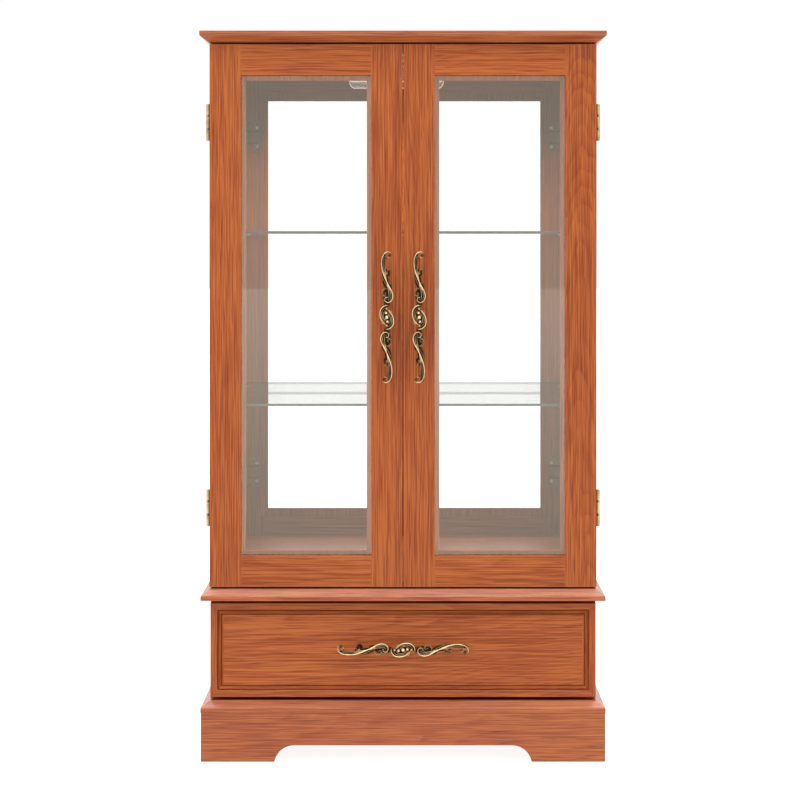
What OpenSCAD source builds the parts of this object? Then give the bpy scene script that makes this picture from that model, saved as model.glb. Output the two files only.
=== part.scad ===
// China cabinet: two glazed doors over a drawer, glass shelves in front of a mirror.
// Millimetres. The front faces -Y, +Z is up, the origin is at the middle of the base.

/* [Overall] */
// Width of the top board
overall_w = 598; // [584:1:700]
// Height from the floor to the top
overall_h = 1073; // [1000:1:1300]
// Depth of the top board
board_d = 300; // [280:10:360]
// Width of the carcass between its outer faces
body_w = 570; // [540:10:660]
// Thickness of the boards
board_t = 16; // [16:1:20]

/* [Moulded edge] */
// Height of the square lip of the moulded boards
lip_h = 5; // [4:0.5:6]
// How far the moulding runs in from the lip
moulding_run = 13; // [9:0.5:13]

/* [Base] */
// Height of the plinth boards
plinth_h = 72; // [60:0.5:100]
// Height of the arch between the feet
arch_h = 24; // [15:1:35]
// Radius at the ends of the arch
arch_r = 29.3; // [28:0.1:45]
// Half the flat length of the front arch
arch_half = 160; // [120:1:190]

/* [Drawer] */
// Height of the drawer front
drawer_front_h = 139; // [120:1:139]
// Travel of the drawer
drawer_travel = 185; // [120:5:185]

/* [Doors] */
// Width of the stiles and rails
frame_w = 46; // [40:1:55]
// Thickness of the doors and the drawer front
door_t = 18; // [18:1:20]
// Gap between the two doors
door_gap = 1.5; // [1.5:0.5:4]
// Distance from a door's end to the middle of its hinge
hinge_inset = 114.5; // [80:0.5:180]
// Length of a hinge
hinge_l = 52.5; // [50:0.5:64]

/* [Shelves] */
// Underside of the lower shelf
shelf_z = 519; // [460:0.5:560]
// Pitch of the shelf pin holes
pin_pitch = 32; // [32:32:32]
// Thickness of the shelves
shelf_t = 4; // [4:0.5:6]

/* [Handles] */
// Distance between a handle's two bolts
handle_centres = 128; // [96:32:128]
// How far a handle stands out
handle_reach = 27; // [24:1:30]

/* [Hidden] */
$fn = 48;

wood = [0.72, 0.38, 0.2];
hardboard = [0.55, 0.4, 0.27];
glass = [0.8, 0.9, 0.87, 0.4];
brass = [0.66, 0.56, 0.33];
bronze = [0.42, 0.36, 0.22];
steel = [0.72, 0.72, 0.74];
white = [0.93, 0.93, 0.91];

cut = 1;        // how far a cutting shape runs past a face
slack = 0.05;   // radial room round a screw, dowel or pin in its hole

// Depths. The handles stand proud of the boards, and the origin is at the middle of both.
door_setback = 14;
back_y = (board_d + handle_reach - door_setback) / 2;
front_y = back_y - board_d;
door_y = front_y + door_setback;
door_back_y = door_y + door_t;
leaf_t = 1.2;
leaf_gap = 0.3;
side_y = door_back_y + 2 * leaf_t + leaf_gap;

// Heights of the two boxes that make the carcass.
base_z = plinth_h;
bay_z = base_z + board_t;
bay_h = 148;
waist_z = bay_z + bay_h;
case_z = waist_z + board_t;
top_z = overall_h - board_t;

// Widths.
body_x = body_w / 2;
inner_x = body_x - board_t;
waist_half = overall_w / 2 - 1.5;
plinth_half = waist_half - 0.5;
plinth_front_y = front_y + 1.5;
side_arch_half = 55;
block_leg = 40;
block_h = 50;

// Back: a stepped rebate in the sides holds the mirror and a hardboard panel.
rebate_w = 10;
mirror_rebate_w = 4;
mirror_t = 3;
hardboard_t = 3;
back_recess = 2;
mirror_y = back_y - back_recess - hardboard_t - mirror_t;

// Doors.
door_z = case_z + 2.6;
door_top_z = top_z - 2.8;
door_h = door_top_z - door_z;
door_w = body_x - door_gap / 2;
glass_t = 4;
glass_rebate = 8;
bead_t = 6;
bead_show = 6.8;
glass_y = door_back_y - bead_t - glass_t;

// Hinges: the pin stands just outside the side of the cabinet.
pin_x = body_x + 3.5;
pin_y = (door_back_y + side_y) / 2;
pin_r = 1.5;
barrel_r = 3.2;
middle_knuckle_l = 0.38 * hinge_l;
knuckle_gap = 0.6;
frame_leaf_w = 16;
door_leaf_w = 38;
hinge_zs = [door_z + hinge_inset, door_top_z - hinge_inset];
door_leaf_screw_xs = [body_x - 10, body_x - 34];

// Countersunk screws, and the bolts of the handles.
screw_r = 1.5;
screw_head_r = 3;
screw_head_h = 1.1;
screw_l = 12;
block_screw_l = 32;
bolt_r = 2;
bolt_head_r = 4;
bolt_head_h = 2.4;

// Glued dowels, at different depths above and below the waist board.
upper_dowel_ys = [-85, 10, 105];
lower_dowel_ys = [-65, 25, 85];
dowel_r = 4;
dowel_half = 9.5;

// Shelves.
upper_shelf_z = shelf_z + 8 * pin_pitch;
shelf_zs = [shelf_z, upper_shelf_z];
support_ys = [-70, 100];
support_r = 2.5;
support_in = 9;
support_drop = 3.5;    // from the shelf down to the pin's axis
hole_depth = 10;

// Magnetic catch.
catch_h = 14;
strike_z = top_z - 9;

// Lamp under the top board.
lamp_x = -12;
lamp_y = 95;
lamp_w = 154;
lamp_d = 60;
lamp_base_t = 6;
lamp_drop = 45.5;
lamp_wall = 2;
grommet = [40, 137];
grommet_r = 10;
grommet_bore_r = 8;
grommet_flange_r = 13;
flange_t = 2;

// Floor of the display, a thin board that lies on the waist board.
display_floor_t = 8;

// Drawer and its roller slides.
drawer_z = bay_z + 4.2;
drawer_side_t = 12;
drawer_x = inner_x - 12.5;
drawer_box_z = bay_z + 17.5;
drawer_box_h = 90;
drawer_box_back = door_back_y + 240;
bottom_lift = 8;
bottom_in = 5;
slide_t = 1.2;
roller_r = 9;
roller_w = 7;
roller_z = bay_z + 18.6;
track_gap = 0.1;
flange_run = 9;
slide_y = side_y + 2;
slide_l = 250;
front_roller_y = slide_y + 12;
rear_roller_y = front_roller_y + drawer_travel + 2 * roller_r + 3;
rivet_r = 2;

// ---------- small helpers ----------

// A box between two corners.
module block(low, high) {
    translate(low) cube(high - low);
}

// The same shape on both sides of the cabinet.
module both_sides() {
    children();
    mirror([1, 0, 0]) children();
}

// The moulded edge, as points of how far in and how far up from the lip's square edge.
moulding = concat([[0, 0], [0, lip_h]],
    [for (a = [20 : 20 : 40]) [3 * (1 - cos(a)), lip_h + 3.5 * sin(a)]],
    [[moulding_run, board_t]]);

// The edge's outline across a board's full width, or across its front edge alone.
module moulding_outline(low, high, both_ends) {
    left = [for (p = moulding) [low + p[0], p[1]]];
    right = both_ends ? [for (k = [len(moulding) - 1 : -1 : 0]) [high - moulding[k][0], moulding[k][1]]]
                      : [[high, board_t], [high, 0]];
    polygon(concat(left, right));
}

// A board whose front and ends are moulded, with the lip at the bottom.
module moulded_board(half_w, y0) {
    intersection() {
        translate([0, back_y, 0]) along_minus_y() linear_extrude(back_y - y0)
            moulding_outline(-half_w, half_w, true);
        translate([-half_w, 0, 0]) rotate([90, 0, 90]) linear_extrude(2 * half_w)
            moulding_outline(y0, back_y, false);
    }
}

// A countersunk screw at the origin, its head's outer face at z = 0 and its point up.
module screw(length = screw_l) {
    cylinder(h = screw_head_h, r1 = screw_head_r, r2 = screw_r);
    translate([0, 0, screw_head_h]) cylinder(h = length - screw_head_h, r = screw_r);
}

// The countersunk hole of such a screw.
module screw_hole(length = screw_l) {
    translate([0, 0, -cut]) cylinder(h = cut, r = screw_head_r + slack);
    cylinder(h = screw_head_h, r1 = screw_head_r + slack, r2 = screw_r + slack);
    translate([0, 0, screw_head_h]) cylinder(h = length - screw_head_h + slack, r = screw_r + slack);
}

// Turns a child that points up so that it points along +X, -X, +Y or -Y.
module along_x() { rotate([0, 90, 0]) children(); }
module along_minus_x() { rotate([0, -90, 0]) children(); }
module along_y() { rotate([-90, 0, 0]) children(); }
module along_minus_y() { rotate([90, 0, 0]) children(); }

// ---------- places of the fasteners (right-hand side only, mirrored for the left) ----------

module at_frame_leaf_screws() {
    for (z = hinge_zs, dz = [-18, 18])
        translate([body_x - 9, side_y - leaf_t, z + dz]) along_y() children();
}

module at_catch_screws() {
    for (x = [-20, 20]) translate([x, side_y + 9, top_z - 4]) children();
}

module at_lamp_screws() {
    for (dx = [-60, 60])
        translate([lamp_x + dx, lamp_y, top_z - lamp_base_t]) children();
}

module at_slide_screws() {
    for (dy = [20, 150])
        translate([inner_x - slide_t, slide_y + dy, roller_z]) along_x() children();
}

back_screw_x = inner_x + 7;

module at_upper_back_screws() {
    for (k = [0 : 3], z = case_z + 40 + k * (top_z - case_z - 80) / 3)
        translate([back_screw_x, back_y - back_recess, z]) along_minus_y() children();
}

module at_lower_back_screws() {
    for (z = [bay_z + 25, waist_z - 25])
        translate([back_screw_x, back_y - back_recess, z]) along_minus_y() children();
}

module at_block_screws() {
    for (y = [plinth_front_y + board_t + 11, back_y - board_t - 11])
        translate([plinth_half - board_t - 11, y, plinth_h - 22]) children();
}

// ---------- dowelled joints ----------

// A dowel across each end joint of the four level boards.
module at_dowels() {
    for (z = [bay_z, waist_z], y = lower_dowel_ys) translate([body_x - board_t / 2, y, z]) children();
    for (z = [case_z, top_z], y = upper_dowel_ys) translate([body_x - board_t / 2, y, z]) children();
}

module dowel(room = 0) {
    translate([0, 0, -dowel_half - room]) cylinder(h = 2 * (dowel_half + room), r = dowel_r + room);
}

// ---------- carcass ----------

module top_board() {
    color(wood) difference() {
        translate([0, 0, overall_h]) mirror([0, 0, 1]) moulded_board(overall_w / 2, front_y);
        both_sides() at_dowels() dowel(slack);
        at_catch_screws() screw_hole();
        at_lamp_screws() screw_hole();
        translate([grommet[0], grommet[1], top_z - cut])
            cylinder(h = board_t + 2 * cut, r = grommet_r + slack);
        translate([grommet[0], grommet[1], overall_h - flange_t])
            cylinder(h = flange_t + cut, r = grommet_flange_r + slack);
    }
}

// Holes for the shelf supports: one at each shelf, one above it and one below it.
module pin_holes() {
    for (y = support_ys, z = shelf_zs, k = [-1, 0, 1])
        translate([inner_x - cut, y, z - support_drop + k * pin_pitch])
            along_x() cylinder(h = hole_depth + cut, r = support_r + slack);
}

module upper_side() {
    color(wood) difference() {
        block([inner_x, side_y, case_z], [body_x, back_y, top_z]);
        block([inner_x - cut, mirror_y, case_z - cut],
              [inner_x + mirror_rebate_w, back_y + cut, top_z + cut]);
        block([inner_x - cut, mirror_y + mirror_t, case_z - cut],
              [inner_x + rebate_w, back_y + cut, top_z + cut]);
        pin_holes();
        at_dowels() dowel(slack);
        at_frame_leaf_screws() screw_hole();
        at_upper_back_screws() screw_hole();
    }
}
module upper_right_side() { upper_side(); }
module upper_left_side() { mirror([1, 0, 0]) upper_side(); }

module lower_side() {
    color(wood) difference() {
        block([inner_x, side_y, bay_z], [body_x, back_y, waist_z]);
        block([inner_x - cut, back_y - back_recess - hardboard_t, bay_z - cut],
              [inner_x + rebate_w, back_y + cut, waist_z + cut]);
        at_dowels() dowel(slack);
        at_slide_screws() screw_hole();
        at_lower_back_screws() screw_hole();
    }
}
module lower_right_side() { lower_side(); }
module lower_left_side() { mirror([1, 0, 0]) lower_side(); }

module waist_board() {
    color(wood) difference() {
        translate([0, 0, waist_z]) moulded_board(waist_half, front_y + 1);
        both_sides() at_dowels() dowel(slack);
    }
}

module base_board() {
    color(wood) difference() {
        translate([0, 0, base_z]) moulded_board(waist_half, front_y + 1);
        both_sides() at_dowels() dowel(slack);
        both_sides() at_block_screws() screw_hole(block_screw_l);
    }
}

module display_floor() {
    color(wood) block([-inner_x, side_y, case_z], [inner_x, mirror_y, case_z + display_floor_t]);
}

// ---------- plinth ----------

// The arch between two feet, as seen from the front.
module arch_shape(half) {
    translate([-half, -cut]) square([2 * half, arch_h + cut]);
    for (side = [-1, 1]) translate([side * half, arch_h - arch_r]) circle(r = arch_r);
}

module plinth_front() {
    color(wood) difference() {
        linear_extrude(plinth_h) polygon([
            [-plinth_half, plinth_front_y], [plinth_half, plinth_front_y],
            [plinth_half - board_t, plinth_front_y + board_t],
            [-plinth_half + board_t, plinth_front_y + board_t]]);
        translate([0, plinth_front_y + board_t + cut, 0]) along_minus_y()
            linear_extrude(board_t + 2 * cut) arch_shape(arch_half);
    }
}

module plinth_side() {
    color(wood) difference() {
        linear_extrude(plinth_h) polygon([
            [plinth_half, plinth_front_y], [plinth_half, back_y],
            [plinth_half - board_t, back_y],
            [plinth_half - board_t, plinth_front_y + board_t]]);
        translate([plinth_half - board_t - cut, (plinth_front_y + back_y) / 2, 0])
            rotate([90, 0, 90]) linear_extrude(board_t + 2 * cut) arch_shape(side_arch_half);
    }
}
module plinth_right() { plinth_side(); }
module plinth_left() { mirror([1, 0, 0]) plinth_side(); }

module plinth_back() {
    color(wood) block([-plinth_half + board_t, back_y - board_t, 0],
                      [plinth_half - board_t, back_y, plinth_h]);
}

// Triangular blocks glued in the plinth's corners and screwed up into the base board.
module corner_blocks() {
    x = plinth_half - board_t;
    color([0.75, 0.6, 0.42]) both_sides() difference() {
        union() {
            for (c = [[plinth_front_y + board_t, 1], [back_y - board_t, -1]])
                translate([0, 0, plinth_h - block_h]) linear_extrude(block_h) polygon([
                    [x, c[0]], [x - block_leg, c[0]], [x, c[0] + c[1] * block_leg]]);
        }
        at_block_screws() translate([0, 0, -block_h]) cylinder(h = block_h, r = screw_head_r + 1);
        at_block_screws() screw_hole(block_screw_l);
    }
}

// ---------- back and shelves ----------

module mirror_glass() {
    x = inner_x + mirror_rebate_w - 0.5;
    color([0.85, 0.88, 0.9])
        block([-x, mirror_y, case_z + 0.5], [x, mirror_y + mirror_t, top_z - 0.5]);
}

module upper_back_panel() {
    x = inner_x + rebate_w - 0.5;
    color(hardboard) difference() {
        block([-x, mirror_y + mirror_t, case_z + 0.5], [x, back_y - back_recess, top_z - 0.5]);
        both_sides() at_upper_back_screws() screw_hole();
    }
}

module lower_back_panel() {
    x = inner_x + rebate_w - 0.5;
    color(hardboard) difference() {
        block([-x, back_y - back_recess - hardboard_t, bay_z + 0.5],
              [x, back_y - back_recess, waist_z - 0.5]);
        both_sides() at_lower_back_screws() screw_hole();
    }
}

module shelf(z) {
    color(glass) block([-inner_x + 2, door_back_y + 7, z], [inner_x - 2, mirror_y - 3, z + shelf_t]);
}
module lower_shelf() { shelf(shelf_z); }
module upper_shelf() { shelf(upper_shelf_z); }

// A peg in the side panel with a flat tongue that the glass lies on.
module shelf_support() {
    translate([support_in, 0, 0]) along_minus_x() cylinder(h = support_in + 2, r = support_r);
    block([-1.6, -5, -4.5], [0, 5, support_drop + 4]);
    block([-9, -5, support_drop - 2], [-1.6, 5, support_drop]);
}

module shelf_supports() {
    color(steel) both_sides() for (y = support_ys, z = shelf_zs)
        translate([inner_x, y, z - support_drop]) shelf_support();
}

// ---------- fasteners of the carcass ----------

module joint_dowels() {
    color([0.85, 0.7, 0.5]) both_sides() at_dowels() dowel();
}

module carcass_screws() {
    color(steel) {
        both_sides() {
            at_frame_leaf_screws() screw();
            at_slide_screws() screw();
            at_upper_back_screws() screw();
            at_lower_back_screws() screw();
            at_block_screws() screw(block_screw_l);
        }
        at_catch_screws() screw();
        at_lamp_screws() screw();
    }
}

// ---------- hinges ----------

// A leaf with its knuckles: own lists the knuckles it holds, counted from the bottom.
module hinge_leaf(own, y0, width) {
    far_x = pin_x - barrel_r - 0.4;
    ends = [-hinge_l / 2, -middle_knuckle_l / 2, middle_knuckle_l / 2, hinge_l / 2];
    union() {
        block([body_x - width, y0, -hinge_l / 2], [far_x, y0 + leaf_t, hinge_l / 2]);
        for (k = own) {
            z0 = ends[k] + (k > 0 ? knuckle_gap / 2 : 0);
            z1 = ends[k + 1] - (k < 2 ? knuckle_gap / 2 : 0);
            difference() {
                union() {
                    translate([pin_x, pin_y, z0]) cylinder(h = z1 - z0, r = barrel_r);
                    block([far_x - cut, y0, z0], [pin_x, y0 + leaf_t, z1]);
                }
                translate([pin_x, pin_y, z0 - cut])
                    cylinder(h = z1 - z0 + 2 * cut, r = pin_r + slack);
            }
        }
    }
}

// The leaves and their screw holes stand at the hinges' true heights.
module hinge_frame_leaves() {
    color(brass) both_sides() difference() {
        for (z = hinge_zs) translate([0, 0, z]) hinge_leaf([0, 2], side_y - leaf_t, frame_leaf_w);
        at_frame_leaf_screws() screw_hole();
    }
}

module door_leaves() {
    color(brass) difference() {
        for (z = hinge_zs) translate([0, 0, z]) hinge_leaf([1], door_back_y, door_leaf_w);
        at_door_leaf_screws() screw_hole();
    }
}
module right_door_leaves() { door_leaves(); }
module left_door_leaves() { mirror([1, 0, 0]) door_leaves(); }

module hinge_pins() {
    color(brass) both_sides() for (z = hinge_zs) translate([pin_x, pin_y, z - hinge_l / 2]) {
        cylinder(h = hinge_l, r = pin_r);
        translate([0, 0, hinge_l]) cylinder(h = 1, r = 2.6);
        translate([0, 0, -1]) cylinder(h = 1, r = 2.6);
    }
}

// ---------- catch and lamp ----------

module magnetic_catch() {
    color(white) difference() {
        block([-27, side_y + 1, top_z - catch_h], [27, side_y + 16, top_z]);
        at_catch_screws() translate([0, 0, -catch_h]) cylinder(h = catch_h, r = screw_head_r + 0.3);
        at_catch_screws() screw_hole();
    }
    color([0.25, 0.25, 0.27]) for (s = [-1, 1])
        block([s * 12 - 5, door_back_y + leaf_t + 0.4, strike_z - 3],
              [s * 12 + 5, side_y + 1, strike_z + 3]);
}

module strike_plate() {
    color(steel) difference() {
        block([3, door_back_y, strike_z - 12], [21, door_back_y + leaf_t, strike_z + 4]);
        at_strike_screw() screw_hole();
    }
}
module right_strike_plate() { strike_plate(); }
module left_strike_plate() { mirror([1, 0, 0]) strike_plate(); }

module lamp_base() {
    color(white) difference() {
        block([lamp_x - lamp_w / 2, lamp_y - lamp_d / 2, top_z - lamp_base_t],
              [lamp_x + lamp_w / 2, lamp_y + lamp_d / 2, top_z]);
        at_lamp_screws() screw_hole();
    }
}

// The cover's outline from the front: square on top, with two round corners below.
module lamp_outline(half, height, r) {
    polygon(concat(
        [[-half, 0], [half, 0]],
        [for (a = [0 : 15 : 90]) [half - r + r * cos(a), -height + r - r * sin(a)]],
        [for (a = [90 : 15 : 180]) [-half + r + r * cos(a), -height + r - r * sin(a)]]));
}

module lamp_cover() {
    drop = lamp_drop - lamp_base_t;
    color([0.9, 0.9, 0.88, 0.6]) translate([lamp_x, lamp_y + lamp_d / 2, top_z - lamp_base_t])
        difference() {
            along_minus_y() linear_extrude(lamp_d) lamp_outline(lamp_w / 2, drop, 11);
            translate([0, -lamp_wall, 0]) along_minus_y() linear_extrude(lamp_d - 2 * lamp_wall)
                intersection() {
                    lamp_outline(lamp_w / 2 - lamp_wall, drop - lamp_wall, 9);
                    translate([-lamp_w, -2 * drop]) square([2 * lamp_w, 2 * drop]);
                }
        }
}

module lamp_board() {
    z = top_z - lamp_base_t - 5;
    color(white) block([lamp_x - 50, lamp_y - 15, z], [lamp_x + 50, lamp_y + 15, z + 1.6]);
    color(white) for (s = [-1, 1])
        block([lamp_x + s * 40 - 3, lamp_y - 3, z + 1.6], [lamp_x + s * 40 + 3, lamp_y + 3, z + 5]);
    color([0.95, 0.85, 0.4]) for (k = [-2 : 2], s = [-1, 1])
        block([lamp_x + k * 20 - 2.5, lamp_y + s * 8 - 2.5, z - 1.2],
              [lamp_x + k * 20 + 2.5, lamp_y + s * 8 + 2.5, z]);
}

module cable_grommet() {
    color([0.2, 0.14, 0.1]) translate([grommet[0], grommet[1], top_z]) difference() {
        union() {
            cylinder(h = board_t, r = grommet_r);
            translate([0, 0, board_t - flange_t]) cylinder(h = flange_t, r = grommet_flange_r);
        }
        translate([0, 0, -cut]) cylinder(h = board_t + 2 * cut, r = grommet_bore_r);
    }
}

// ---------- doors (drawn on the right, mirrored for the left) ----------

door_in_x = door_gap / 2;
handle_x = door_in_x + frame_w / 2;
handle_z = door_z + 398;
ap = [door_in_x + frame_w, body_x - frame_w];
az = [door_z + frame_w, door_top_z - frame_w];

// The rebate behind the frame that takes the glass and its beads.
module glazing_rebate() {
    block([ap[0] - glass_rebate, glass_y, az[0] - glass_rebate],
          [ap[1] + glass_rebate, door_back_y + cut, az[1] + glass_rebate]);
}

module at_door_leaf_screws() {
    for (z = hinge_zs, x = door_leaf_screw_xs, dz = [-15.5, 15.5])
        translate([x, door_back_y + leaf_t, z + dz]) along_minus_y() children();
}

module at_strike_screw() {
    translate([12, door_back_y + leaf_t, strike_z - 8.5]) along_minus_y() children();
}

module at_handle_bolts() {
    for (s = [-1, 1])
        translate([handle_x, door_back_y, handle_z + s * handle_centres / 2])
            along_minus_y() children();
}

// A bolt through a board into a handle's post, its head behind the board.
module handle_bolt() {
    translate([0, 0, -bolt_head_h]) cylinder(h = bolt_head_h, r = bolt_head_r);
    cylinder(h = door_t + 11, r = bolt_r);
}

module bolt_hole() {
    translate([0, 0, -cut]) cylinder(h = door_t + 2 * cut, r = bolt_r + 0.2);
}

module outer_stile() {
    color(wood) difference() {
        block([ap[1], door_y, door_z], [body_x, door_back_y, door_top_z]);
        glazing_rebate();
        at_door_leaf_screws() screw_hole();
    }
}

module inner_stile() {
    color(wood) difference() {
        block([door_in_x, door_y, door_z], [ap[0], door_back_y, door_top_z]);
        glazing_rebate();
        at_strike_screw() screw_hole();
        at_handle_bolts() bolt_hole();
    }
}

module rail(z0) {
    color(wood) difference() {
        block([ap[0], door_y, z0], [ap[1], door_back_y, z0 + frame_w]);
        glazing_rebate();
    }
}

module glass_pane() {
    g = glass_rebate - 0.5;
    color(glass) block([ap[0] - g, glass_y, az[0] - g], [ap[1] + g, glass_y + glass_t, az[1] + g]);
}

// Four beads behind the glass, the uprights between the top and the bottom ones.
module glazing_beads() {
    g = glass_rebate - 0.2;
    y0 = glass_y + glass_t;
    color([0.72, 0.62, 0.52]) {
        for (z = [[az[0] - g, az[0] + bead_show], [az[1] - bead_show, az[1] + g]])
            block([ap[0] - g, y0, z[0]], [ap[1] + g, door_back_y, z[1]]);
        for (x = [[ap[0] - g, ap[0] + bead_show], [ap[1] - bead_show, ap[1] + g]])
            block([x[0], y0, az[0] + bead_show], [x[1], door_back_y, az[1] - bead_show]);
    }
}

module door_fasteners() {
    color(steel) {
        at_door_leaf_screws() screw();
        at_strike_screw() screw();
        at_handle_bolts() handle_bolt();
    }
}

module right_outer_stile() { outer_stile(); }
module right_inner_stile() { inner_stile(); }
module right_top_rail() { rail(door_top_z - frame_w); }
module right_bottom_rail() { rail(door_z); }
module right_glass() { glass_pane(); }
module right_glazing_beads() { glazing_beads(); }
module right_door_fasteners() { door_fasteners(); }
module left_outer_stile() { mirror([1, 0, 0]) outer_stile(); }
module left_inner_stile() { mirror([1, 0, 0]) inner_stile(); }
module left_top_rail() { mirror([1, 0, 0]) rail(door_top_z - frame_w); }
module left_bottom_rail() { mirror([1, 0, 0]) rail(door_z); }
module left_glass() { mirror([1, 0, 0]) glass_pane(); }
module left_glazing_beads() { mirror([1, 0, 0]) glazing_beads(); }
module left_door_fasteners() { mirror([1, 0, 0]) door_fasteners(); }

// ---------- handles ----------

// A point on a cubic curve.
function curve(p, t) = pow(1 - t, 3) * p[0] + 3 * t * pow(1 - t, 2) * p[1]
    + 3 * t * t * (1 - t) * p[2] + pow(t, 3) * p[3];
function direction(p, t) = curve(p, min(t + 0.01, 1)) - curve(p, max(t - 0.01, 0));
function side_of(d) = [-d[1], d[0]] / norm(d);

// A strip of a given width along two joined curves.
module strip(first, second, width, steps = 9) {
    ts = [for (k = [0 : steps]) k / steps];
    mids = concat([for (t = ts) curve(first, t)], [for (t = ts) if (t > 0) curve(second, t)]);
    across = concat([for (t = ts) side_of(direction(first, t))],
                    [for (t = ts) if (t > 0) side_of(direction(second, t))]);
    n = len(mids);
    polygon(concat([for (k = [0 : n - 1]) mids[k] + across[k] * width / 2],
                   [for (k = [n - 1 : -1 : 0]) mids[k] - across[k] * width / 2]));
}

// Half of the S-shaped bow, from the boss at the middle to the curl at the end.
module half_bow() {
    strip([[0, 14], [13, 20], [13, 36], [5, 50]], [[5, 50], [-3, 64], [-10, 82], [2, 93]], 6);
    translate([5.5, 90.5]) circle(r = 5.6, $fn = 24);
    translate([1, 31]) circle(r = 8, $fn = 24);
}

module handle() {
    bow_t = 6.5;
    color(bronze) difference() {
        along_minus_y() {
            translate([0, 0, handle_reach - bow_t]) linear_extrude(bow_t) {
                half_bow();
                rotate(180) half_bow();
                polygon([for (a = [0 : 15 : 345]) [10.8 * cos(a), 16.8 * sin(a)]]);
            }
            for (s = [-1, 1]) translate([0, s * handle_centres / 2, 0]) {
                cylinder(h = handle_reach - 1, r = 4);
                cylinder(h = 2, r = 6.5);
            }
        }
        for (s = [-1, 1]) translate([0, cut, s * handle_centres / 2]) along_minus_y()
            cylinder(h = 12 + cut, r = bolt_r + slack);
    }
}

module right_handle() { translate([handle_x, door_y, handle_z]) handle(); }
module left_handle() { translate([-handle_x, door_y, handle_z]) handle(); }

// ---------- drawer ----------

drawer_handle_z = drawer_z + drawer_front_h / 2 + 4.5;
drawer_half = body_x - 1;

module at_drawer_bolts() {
    for (s = [-1, 1]) translate([s * handle_centres / 2, door_back_y, drawer_handle_z])
        along_minus_y() children();
}

// A rectangle set in from the drawer front's edge, from its face to a depth.
module inset_block(inset, depth) {
    block([-drawer_half + inset, door_y - cut, drawer_z + inset],
          [drawer_half - inset, door_y + depth, drawer_z + drawer_front_h - inset]);
}

module drawer_front() {
    groove = 1.6;
    color(wood) difference() {
        block([-drawer_half, door_y, drawer_z],
              [drawer_half, door_back_y, drawer_z + drawer_front_h]);
        difference() {
            inset_block(10, groove);
            inset_block(11.4, 2 * groove);
        }
        inset_block(16.5, groove);
        at_drawer_bolts() bolt_hole();
    }
}

module drawer_handle() {
    translate([0, door_y, drawer_handle_z]) rotate([0, -90, 0]) handle();
}

// The board behind the drawer front, with room for the handle's bolt heads.
module drawer_inner_front() {
    x = drawer_x - drawer_side_t;
    color(hardboard) difference() {
        block([-x, door_back_y, drawer_box_z],
              [x, door_back_y + drawer_side_t, drawer_box_z + drawer_box_h]);
        block([-x - cut, door_back_y + drawer_side_t - bottom_in, drawer_box_z + bottom_lift],
              [x + cut, door_back_y + drawer_side_t + cut, drawer_box_z + bottom_lift + hardboard_t]);
        at_drawer_bolts() translate([0, 0, -drawer_side_t - cut])
            cylinder(h = drawer_side_t + 2 * cut, r = bolt_head_r + 1);
    }
}

module drawer_bolts() {
    color(steel) at_drawer_bolts() handle_bolt();
}

module drawer_side() {
    color(hardboard) difference() {
        block([drawer_x - drawer_side_t, door_back_y, drawer_box_z],
              [drawer_x, drawer_box_back, drawer_box_z + drawer_box_h]);
        block([drawer_x - drawer_side_t - cut, door_back_y + drawer_side_t - bottom_in,
               drawer_box_z + bottom_lift],
              [drawer_x - drawer_side_t + bottom_in, drawer_box_back + cut,
               drawer_box_z + bottom_lift + hardboard_t]);
    }
}
module drawer_right_side() { drawer_side(); }
module drawer_left_side() { mirror([1, 0, 0]) drawer_side(); }

module drawer_back() {
    x = drawer_x - drawer_side_t;
    color(hardboard) block(
        [-x, drawer_box_back - drawer_side_t, drawer_box_z + bottom_lift + hardboard_t],
        [x, drawer_box_back, drawer_box_z + drawer_box_h]);
}

module drawer_bottom() {
    x = drawer_x - drawer_side_t + bottom_in - 0.3;
    z = drawer_box_z + bottom_lift;
    color([0.8, 0.7, 0.55]) block([-x, door_back_y + drawer_side_t - bottom_in + 0.3, z],
                                  [x, drawer_box_back, z + hardboard_t]);
}

// ---------- roller slides ----------

roller_x = (inner_x + drawer_x) / 2 + 0.2;
channel_low = roller_z - roller_r - track_gap;
run_low = roller_z + roller_r + track_gap;

// The channel on the cabinet's side, with the rivet of the front roller.
module cabinet_slide() {
    web = [inner_x - slide_t, inner_x];
    difference() {
        union() {
            block([web[0], slide_y, channel_low - slide_t],
                  [web[1], slide_y + slide_l, run_low + 3 * slide_t]);
            block([inner_x - flange_run, slide_y, channel_low - slide_t],
                  [web[1], slide_y + slide_l, channel_low]);
            block([inner_x - flange_run, slide_y, run_low + 2 * slide_t],
                  [web[1], slide_y + slide_l, run_low + 3 * slide_t]);
            translate([web[1], front_roller_y, roller_z]) along_minus_x()
                cylinder(h = inner_x - roller_x + roller_w / 2 + 0.8, r = rivet_r);
        }
        at_slide_screws() screw_hole();
    }
}

module cabinet_slides() { color(steel) both_sides() cabinet_slide(); }

// The member on the drawer: it holds the drawer's edge and runs on the front roller.
module drawer_slide() {
    web = [drawer_x, drawer_x + slide_t];
    far_y = rear_roller_y + 14;
    block([web[0], door_back_y + 4, drawer_box_z - slide_t], [web[1], far_y, run_low + slide_t]);
    block([drawer_x - drawer_side_t, door_back_y + 4, drawer_box_z - slide_t],
          [web[1], far_y, drawer_box_z]);
    block([web[0], door_back_y + 4, run_low],
          [inner_x - slide_t - 1, far_y, run_low + slide_t]);
    translate([web[0], rear_roller_y, roller_z]) along_x()
        cylinder(h = roller_x + roller_w / 2 + 0.6 - web[0], r = rivet_r);
}

module drawer_slides() { color(steel) both_sides() drawer_slide(); }

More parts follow.
